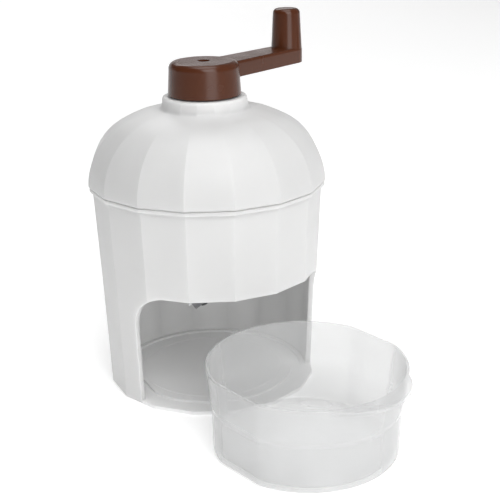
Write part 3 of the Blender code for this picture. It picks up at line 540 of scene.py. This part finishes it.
def make_crank():
    """Brown hub, arm and knob in one moulding, with a small fillet where they meet."""
    shoulder = arc((HUB_SHOULDER_R - HUB_EDGE_R, HUB_TOP_Z - HUB_EDGE_R), HUB_EDGE_R, 90, 4, 10)
    hub = turned("crank_handle_fine", [
        (0, HUB_TOP_Z), (RECESS_R + RECESS_RIM, HUB_TOP_Z), *shoulder,
        *stretch((HUB_SHOULDER_R + 0.02, HUB_TOP_Z - HUB_EDGE_R - 1), (HUB_R, HUB_LOW_Z + HUB_FOOT_EDGE), 4),
        (HUB_R, HUB_LOW_Z + HUB_FOOT_EDGE), (HUB_R - HUB_FOOT_EDGE, HUB_LOW_Z),
        (SQUARE_HALF * 2, HUB_LOW_Z), (0, HUB_LOW_Z)], FINE_STEPS)
    waist = (ARM_LOW_Z + ARM_TOP_Z) / 2 * MM
    shape = bmesh.new()
    for radius, x in ((ARM_HUB_HALF, 0.0), (KNOB_FOOT_R, CRANK_RADIUS)):
        spot = Matrix.Translation((x * MM, 0, waist))
        bmesh.ops.create_cone(shape, cap_ends=True, segments=ARM_SIDES, radius1=radius * MM,
                              radius2=radius * MM, depth=(ARM_TOP_Z - ARM_LOW_Z) * MM, matrix=spot)
    hull = bmesh.ops.convex_hull(shape, input=shape.verts)
    spare = [part for part in hull["geom_interior"] + hull["geom_unused"]
             if isinstance(part, bmesh.types.BMVert)]
    bmesh.ops.delete(shape, geom=spare, context="VERTS")
    bmesh.ops.dissolve_limit(shape, angle_limit=math.radians(1), verts=shape.verts, edges=shape.edges)
    top_edges = [edge for edge in shape.edges if min(vertex.co.z for vertex in edge.verts) > waist]
    bmesh.ops.bevel(shape, geom=top_edges, offset=ARM_EDGE_R * MM, segments=5, profile=0.5, affect="EDGES")
    low_edges = [edge for edge in shape.edges if max(vertex.co.z for vertex in edge.verts) < waist]
    bmesh.ops.bevel(shape, geom=low_edges, offset=ARM_LOW_EDGE_R * MM, segments=2, profile=0.5,
                    affect="EDGES")
    arm = to_object("arm", shape)
    crown = arc((KNOB_TOP_R - KNOB_EDGE_R, KNOB_TOP_Z - KNOB_EDGE_R), KNOB_EDGE_R, 90, 3, 10)
    stem = KNOB_FOOT_R - KNOB_INSET
    root_z = ARM_LOW_Z + KNOB_ROOT[1]
    knob = turned("knob", [(0, KNOB_TOP_Z), *crown, (stem, ARM_TOP_Z - KNOB_ROOT[0]),
                           (stem, root_z), (0, root_z)], KNOB_SIDES)
    knob.location.x = CRANK_RADIUS * MM
    carve(hub, "UNION", arm, knob)
    square = block("square", (-SQUARE_HALF, -SQUARE_HALF, HUB_LOW_Z - 1),
                   (SQUARE_HALF, SQUARE_HALF, SQUARE_TOP_Z))
    carve(hub, "DIFFERENCE", square, cylinder("recess", RECESS_R, RECESS_LOW_Z, HUB_TOP_Z + 1),
          cylinder("through", SCREW_HOLE_R, SQUARE_TOP_Z - 1, HUB_TOP_Z))
    soften(hub, JOIN_FILLET, 40, 3)
    hub.rotation_euler.z = heading(CRANK_DIRECTION)
    return finish_piece(hub, "crank", (BROWN,), "crank_handle")


def make_spring():
    """Round-wire spring with its last turn at each end laid flat; the real one shortens as the presser
    rises, this one keeps a single length.
    """
    flat = SPRING_WIRE * SPRING_FLAT_PITCH
    rise = SPRING_TOP_Z - SPRING_LOW_Z - SPRING_WIRE
    slope = (rise - 2 * flat) / (SPRING_TURNS - 2)
    rows = []
    for step in range(SPRING_TURNS * SPRING_STEPS + 1):
        turns = step / SPRING_STEPS
        middle = max(0, min(turns - 1, SPRING_TURNS - 2))
        height = SPRING_LOW_Z + SPRING_WIRE / 2 + middle * slope + (turns - middle) * flat
        angle = 2 * math.pi * turns
        outward = Vector((math.cos(angle), math.sin(angle), 0))
        centre = outward * SPRING_R + Vector((0, 0, height))
        across = [2 * math.pi * side / SPRING_WIRE_SIDES for side in range(SPRING_WIRE_SIDES)]
        rows.append([centre + (outward * math.cos(part) + Vector((0, 0, math.sin(part)))) * SPRING_WIRE / 2
                     for part in across])
    first, last = (sum(row, Vector()) / SPRING_WIRE_SIDES for row in (rows[0], rows[-1]))
    rows = [[first], *rows, [last]]
    spring = finish_piece(loft("spring_piece", rows), "crank", (STEEL,), "pressure_spring")
    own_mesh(spring)
    return spring


def box_rows(outline):
    """Rows of a circle whose two sides are cut flat; each point is (r, z)."""
    rows = []
    for radius, height in outline:
        if radius == 0:
            rows.append([(0, 0, height)])
            continue
        flat = radius - BOX_FLAT_DEPTH
        edge = math.acos(flat / radius)
        row = []
        for side in (0.0, math.pi):
            reach = radius * math.sin(edge)
            for share in FLAT_SIDE_SHARES:
                spot = Vector((flat, reach * share))
                spot.rotate(Matrix.Rotation(side, 2))
                row.append((spot.x, spot.y, height))
            for step in range(ROUND_SIDE_STEPS + 1):
                share = step / ROUND_SIDE_STEPS
                angle = side + edge + (math.pi - 2 * edge) * share
                row.append((radius * math.cos(angle), radius * math.sin(angle), height))
        rows.append(row)
    return rows


def make_container():
    """Clear cup: stepped wall, side flats, rounded rim and the crescent lip."""
    edge = BOX_EDGE_R
    outer = [
        (0, BOX_HEIGHT), (BOX_RIM_R - 4, BOX_HEIGHT),
        *arc((BOX_RIM_R - edge, BOX_HEIGHT - edge), edge, 90, 5, 4),
        *stretch((BOX_RIM_R - BOX_DRAFT, BOX_HEIGHT - 2), (BOX_BAND_R, BOX_BAND_Z), 5),
        (BOX_BAND_R, BOX_BAND_Z), (BOX_BAND_R - BOX_DRAFT, BOX_BAND_Z - BOX_STEP_EDGE),
        (BOX_STEP_R + 0.1, BOX_STEP_Z + BOX_STEP_EDGE),
        *stretch((BOX_STEP_R, BOX_STEP_Z), (BOX_FOOT_R, 1.0), 5),
        *arc((BOX_FOOT_R - BOX_FOOT_EDGE_R, BOX_FOOT_EDGE_R), BOX_FOOT_EDGE_R, 0, -90, 4),
        (BOX_FOOT_R - 6, 0), (0, 0)]
    step_z = BOX_BAND_Z - BOX_HOLLOW_STEP
    floor_z = BOX_FLOOR_T + BOX_FLOOR_EDGE_R
    hollow = [
        (0, BOX_HEIGHT + 4), (BOX_RIM_R - BOX_WALL + 0.3, BOX_HEIGHT + 4),
        *stretch((BOX_RIM_R - BOX_WALL, BOX_HEIGHT), (BOX_BAND_R - BOX_WALL, step_z), 5),
        (BOX_BAND_R - BOX_WALL, step_z), (BOX_STEP_R - BOX_WALL, BOX_STEP_Z - 2.0),
        *stretch((BOX_STEP_R - BOX_WALL - 0.1, BOX_STEP_Z - 3), (BOX_FOOT_R - BOX_WALL - 0.1, floor_z), 4),
        *arc((BOX_FOOT_R - BOX_WALL - 0.1 - BOX_FLOOR_EDGE_R, floor_z), BOX_FLOOR_EDGE_R, 0, -90, 5),
        (BOX_FOOT_R - 8, BOX_FLOOR_T), (0, BOX_FLOOR_T)]
    box = loft("container_fine", box_rows(outer))
    round_r = LIP_R - LIP_EDGE_R
    lip = turned("lip", [(0, BOX_HEIGHT), *arc((round_r, BOX_HEIGHT - LIP_EDGE_R), LIP_EDGE_R, 90, 0, 4),
                         *arc((round_r, BOX_HEIGHT - LIP_T + LIP_EDGE_R), LIP_EDGE_R, 0, -90, 4),
                         (0, BOX_HEIGHT - LIP_T)], FINE_STEPS)
    lip.location.y = -LIP_FORWARD * MM
    carve(box, "UNION", lip)
    carve(box, "DIFFERENCE", loft("hollow", box_rows(hollow)))
    soften(box, BOX_JOIN_FILLET, 50, 3)
    tilt = Euler((math.radians(BOX_TILT), 0, 0)).to_matrix()
    turn = Euler((0, 0, math.radians(BOX_TURN))).to_matrix()
    place(box, BOX_PLACE, (tilt @ turn).to_euler())
    # Rim, step band, foot and lip faces take the brighter clear plastic: painted highlight along these
    # edges, and more density for the wall seen along its edge.
    for face in box.data.polygons:
        middle = face.center / MM
        rim = middle.z > BOX_HEIGHT - BOX_EDGE_R - 0.1
        step = BOX_STEP_Z < middle.z < BOX_BAND_Z and middle.xy.length > BOX_STEP_R - 2.5
        foot = middle.z < 0.75 and middle.xy.length > BOX_FOOT_R - 3
        lip = -middle.y > BOX_RIM_R + 0.2
        face.material_index = int(rim or step or foot or lip)
    return finish_piece(box, "tray", (CLEAR, CLEAR_EDGE_HIGHLIGHT), "container")


def finish_piece(item, body, materials, node):
    """Shade a piece, settle its place, give it its materials and let it stand for its CAD node."""
    bpy.context.view_layer.update()
    item.data.transform(item.matrix_world)
    item.matrix_world = Matrix.Identity(4)
    smooth(item)
    item.data.materials.clear()
    for material in materials:
        item.data.materials.append(material)
    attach(item, body)
    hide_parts(node)
    return item


# ---------------------------------------------------------------- materials

def new_material(name):
    """Empty Principled material and its shader."""
    material = bpy.data.materials.new(name)
    material.use_nodes = True
    return material, material.node_tree.nodes["Principled BSDF"]


def noise(material, scale, detail=3.0, stretch_z=1.0):
    """Noise in the object's own space; scale is in features per metre."""
    nodes, links = material.node_tree.nodes, material.node_tree.links
    coords = nodes.new("ShaderNodeTexCoord")
    mapping = nodes.new("ShaderNodeMapping")
    mapping.inputs["Scale"].default_value = (1.0, 1.0, stretch_z)
    texture = nodes.new("ShaderNodeTexNoise")
    texture.inputs["Scale"].default_value = scale
    texture.inputs["Detail"].default_value = detail
    links.new(coords.outputs["Object"], mapping.inputs["Vector"])
    links.new(mapping.outputs["Vector"], texture.inputs["Vector"])
    return texture.outputs["Fac"]


def spread(material, source, low, high):
    """Noise value spread over a range."""
    node = material.node_tree.nodes.new("ShaderNodeMapRange")
    node.inputs["From Min"].default_value = 0.3
    node.inputs["From Max"].default_value = 0.7
    node.inputs["To Min"].default_value = low
    node.inputs["To Max"].default_value = high
    material.node_tree.links.new(source, node.inputs["Value"])
    return node.outputs["Result"]


def tint(material, source, dark, light):
    """Noise value turned into a colour between two near ones."""
    node = material.node_tree.nodes.new("ShaderNodeMix")
    node.data_type = "RGBA"
    node.inputs["A"].default_value = (*dark, 1.0)
    node.inputs["B"].default_value = (*light, 1.0)
    material.node_tree.links.new(source, node.inputs["Factor"])
    return node.outputs["Result"]


def bump(material, source, strength, depth):
    """Bump from a noise value; depth is in metres."""
    node = material.node_tree.nodes.new("ShaderNodeBump")
    node.inputs["Strength"].default_value = strength
    node.inputs["Distance"].default_value = depth
    material.node_tree.links.new(source, node.inputs["Height"])
    return node.outputs["Normal"]


def moulded_plastic(name, dark, light, roughness, grain, depth, glow=0.0, gloss=0.5):
    """Moulded plastic: faint colour drift, a fine spark-eroded grain and uneven gloss.

    Glow is the share of light that spreads inside the wall, as it does in thin white plastic.
    """
    material, shader = new_material(name)
    links = material.node_tree.links
    drift = noise(material, 14.0, 2.0)
    fine = noise(material, grain, 4.0)
    links.new(tint(material, spread(material, drift, 0.0, 1.0), dark, light), shader.inputs["Base Color"])
    links.new(spread(material, noise(material, 60.0, 3.0), roughness - GLOSS_SPREAD,
                     roughness + GLOSS_SPREAD), shader.inputs["Roughness"])
    links.new(bump(material, fine, GRAIN_STRENGTH, depth), shader.inputs["Normal"])
    shader.inputs["IOR"].default_value = ABS_IOR
    shader.inputs["Specular IOR Level"].default_value = gloss
    shader.inputs["Subsurface Weight"].default_value = glow
    shader.inputs["Subsurface Radius"].default_value = (1.0, 1.0, 1.0)
    shader.inputs["Subsurface Scale"].default_value = GLOW_REACH * MM
    return material


def clear_plastic(name, dark, light, haze_ahead, haze_edge):
    """Hazy see-through plastic with faint moulding waves, denser where a wall is seen along its length."""
    material, shader = new_material(name)
    links = material.node_tree.links
    haze = noise(material, 35.0, 2.0)
    links.new(tint(material, haze, (dark, dark * 1.01, dark * 1.01), (light, light * 1.005, light * 1.005)),
              shader.inputs["Base Color"])
    links.new(spread(material, noise(material, 80.0), 0.08, 0.14), shader.inputs["Roughness"])
    links.new(bump(material, noise(material, 22.0, 1.0), 0.10, 0.0004), shader.inputs["Normal"])
    facing = material.node_tree.nodes.new("ShaderNodeLayerWeight")
    facing.inputs["Blend"].default_value = 0.5
    steep = material.node_tree.nodes.new("ShaderNodeMath")
    steep.operation = "POWER"
    steep.inputs[1].default_value = EDGE_DENSITY_POWER
    links.new(facing.outputs["Facing"], steep.inputs[0])
    dense = material.node_tree.nodes.new("ShaderNodeMapRange")
    dense.inputs["To Min"].default_value = haze_ahead
    dense.inputs["To Max"].default_value = haze_edge
    links.new(steep.outputs["Value"], dense.inputs["Value"])
    links.new(dense.outputs["Result"], shader.inputs["Alpha"])
    shader.inputs["IOR"].default_value = STYRENE_IOR
    return material


def metal(name, dark, light, roughness, stretch_z=1.0):
    """Brushed or drawn metal with streaks along one axis."""
    material, shader = new_material(name)
    links = material.node_tree.links
    streaks = noise(material, 700.0, 3.0, stretch_z)
    links.new(tint(material, spread(material, streaks, 0.0, 1.0), dark, light), shader.inputs["Base Color"])
    links.new(spread(material, streaks, roughness - 0.08, roughness + 0.08), shader.inputs["Roughness"])
    links.new(bump(material, streaks, 0.2, 0.00002), shader.inputs["Normal"])
    shader.inputs["Metallic"].default_value = 1.0
    return material


WHITE = moulded_plastic("white_plastic", (0.66, 0.66, 0.658), (0.69, 0.69, 0.688), 0.42, 900.0, 0.00002, 1.0)
# Same white plastic made lighter for the bay floor and the shell's inner faces: painted light in place of
# light that reaches into the bay.
BAY_LIGHTENED_WHITE = moulded_plastic("bay_white_painted_light", (0.93, 0.93, 0.928), (0.95, 0.95, 0.948), 0.46, 900.0, 0.00002)
CHAMBER = moulded_plastic("chamber_plastic", (0.83, 0.83, 0.825), (0.86, 0.86, 0.855), 0.50, 700.0, 0.00004,
                          1.0)
BROWN = moulded_plastic("brown_plastic", (0.066, 0.019, 0.008), (0.078, 0.024, 0.010), 0.24, 1100.0, 0.00003,
                        gloss=0.35)
CLEAR = clear_plastic("clear_walls", 0.62, 0.67, 0.31, 0.80)
# Brighter copy of the clear plastic: painted highlight on the rim, step band, foot and lip; its higher
# density stands for the wall seen edge-on.
CLEAR_EDGE_HIGHLIGHT = clear_plastic("clear_edges_painted_highlight", 0.82, 0.88, 0.58, 0.88)
STEEL = metal("bright_steel", (0.50, 0.50, 0.51), (0.66, 0.66, 0.67), 0.30)
BLADE_STEEL = metal("ground_blade_steel", (0.36, 0.36, 0.37), (0.52, 0.52, 0.53), 0.26, 0.15)
DARK_STEEL = metal("dark_steel", (0.11, 0.11, 0.115), (0.18, 0.18, 0.185), 0.40)
BUSH = moulded_plastic("bush_acetal", (0.30, 0.31, 0.32), (0.36, 0.37, 0.38), 0.50, 800.0, 0.00003)
RUBBER = moulded_plastic("pad_rubber", (0.030, 0.030, 0.030), (0.045, 0.045, 0.045), 0.80, 500.0, 0.00008)

NODE_MATERIALS = {
    "ice_chamber": CHAMBER, "ice_presser": CHAMBER, "shaft_bush": BUSH, "blade": BLADE_STEEL,
    "blade_clamp": DARK_STEEL, "blade_screw_left": DARK_STEEL, "blade_screw_right": DARK_STEEL,
}


def dress_nodes(nodes):
    """Give every CAD node its material; the replaced ones are hidden."""
    for name, item in nodes.items():
        material = NODE_MATERIALS.get(name, STEEL)
        if name.startswith("grip_pad"):
            material = RUBBER
        item.data.materials.clear()
        item.data.materials.append(material)


# ---------------------------------------------------------------- scene

def make_floor():
    """Pale sweep: a wide floor that curves up far behind the object."""
    rows = []
    for x in (-PAPER_HALF, PAPER_HALF):
        line = [(x, PAPER_FRONT, PAPER_Z), (x, PAPER_BACK, PAPER_Z)]
        line += [(x, y, z) for y, z in arc((PAPER_BACK, PAPER_SWEEP_R), PAPER_SWEEP_R, -90, 0, 12)[1:]]
        rows.append(line)
    shape = bmesh.new()
    lines = [[shape.verts.new(Vector(point) * MM) for point in row] for row in rows]
    for index in range(len(lines[0]) - 1):
        shape.faces.new([lines[0][index], lines[1][index], lines[1][index + 1], lines[0][index + 1]])
    floor = to_object("studio_floor", shape)
    floor.data.shade_smooth()
    material, shader = new_material("studio_paper")
    shader.inputs["Base Color"].default_value = (PAPER_WHITE, PAPER_WHITE, PAPER_WHITE, 1.0)
    shader.inputs["Roughness"].default_value = 0.9
    shader.inputs["Emission Color"].default_value = (1.0, 1.0, 1.0, 1.0)
    shader.inputs["Emission Strength"].default_value = PAPER_GLOW
    floor.data.materials.append(material)


def add_light(name, place_mm, aim_mm, size, power):
    """Square soft box aimed at a point."""
    data = bpy.data.lights.new(name, "AREA")
    data.shape = "SQUARE"
    data.size = size
    data.energy = power
    item = bpy.data.objects.new(name, data)
    item.location = Vector(place_mm) * MM
    aim = Vector(aim_mm) * MM - item.location
    item.rotation_euler = aim.to_track_quat("-Z", "Y").to_euler()
    bpy.context.scene.collection.objects.link(item)


def make_light():
    """Surroundings that darken to the left, a broad box overhead and two in front of the opening."""
    world = bpy.data.worlds.new("studio")
    world.use_nodes = True
    world.node_tree.nodes["Background"].inputs["Color"].default_value = (1.0, 1.0, 1.0, 1.0)
    nodes, links = world.node_tree.nodes, world.node_tree.links
    side = nodes.new("ShaderNodeSeparateXYZ")
    level = nodes.new("ShaderNodeMapRange")
    level.inputs["From Min"].default_value = -1.0
    level.inputs["To Min"].default_value = WORLD_LEFT
    level.inputs["To Max"].default_value = WORLD_RIGHT
    links.new(nodes.new("ShaderNodeTexCoord").outputs["Generated"], side.inputs["Vector"])
    links.new(side.outputs["X"], level.inputs["Value"])
    links.new(level.outputs["Result"], nodes["Background"].inputs["Strength"])
    bpy.context.scene.world = world
    for light in LIGHTS:
        add_light(*light)
    bpy.context.scene.view_settings.view_transform = "Standard"


def make_camera():
    """Camera above and to the left of the front, turned slightly about its own axis."""
    data = bpy.data.cameras.new("camera")
    data.lens = CAMERA_LENS
    data.clip_end = 100.0
    item = bpy.data.objects.new("camera", data)
    ahead = Vector((math.cos(CAMERA_PITCH) * math.sin(CAMERA_HEADING),
                    math.cos(CAMERA_PITCH) * math.cos(CAMERA_HEADING), -math.sin(CAMERA_PITCH)))
    right = Vector((math.cos(CAMERA_HEADING), -math.sin(CAMERA_HEADING), 0.0))
    upward = right.cross(ahead)
    x_axis = right * math.cos(CAMERA_ROLL) + upward * math.sin(CAMERA_ROLL)
    y_axis = upward * math.cos(CAMERA_ROLL) - right * math.sin(CAMERA_ROLL)
    basis = Matrix((x_axis, y_axis, -ahead)).transposed().to_4x4()
    item.matrix_world = Matrix.Translation(Vector(CAMERA_PLACE) * MM) @ basis
    bpy.context.scene.collection.objects.link(item)
    bpy.context.scene.camera = item


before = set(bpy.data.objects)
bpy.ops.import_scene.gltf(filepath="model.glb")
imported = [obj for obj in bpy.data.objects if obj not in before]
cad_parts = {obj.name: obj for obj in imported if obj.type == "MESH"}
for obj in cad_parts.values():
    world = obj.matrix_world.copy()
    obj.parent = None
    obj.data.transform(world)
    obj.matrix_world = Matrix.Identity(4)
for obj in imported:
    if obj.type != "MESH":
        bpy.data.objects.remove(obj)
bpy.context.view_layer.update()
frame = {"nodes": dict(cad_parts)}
make_camera()
make_floor()
make_light()
dress_nodes(frame["nodes"])
make_body()
make_base()
make_lid()
make_spring()
make_crank()
make_container()
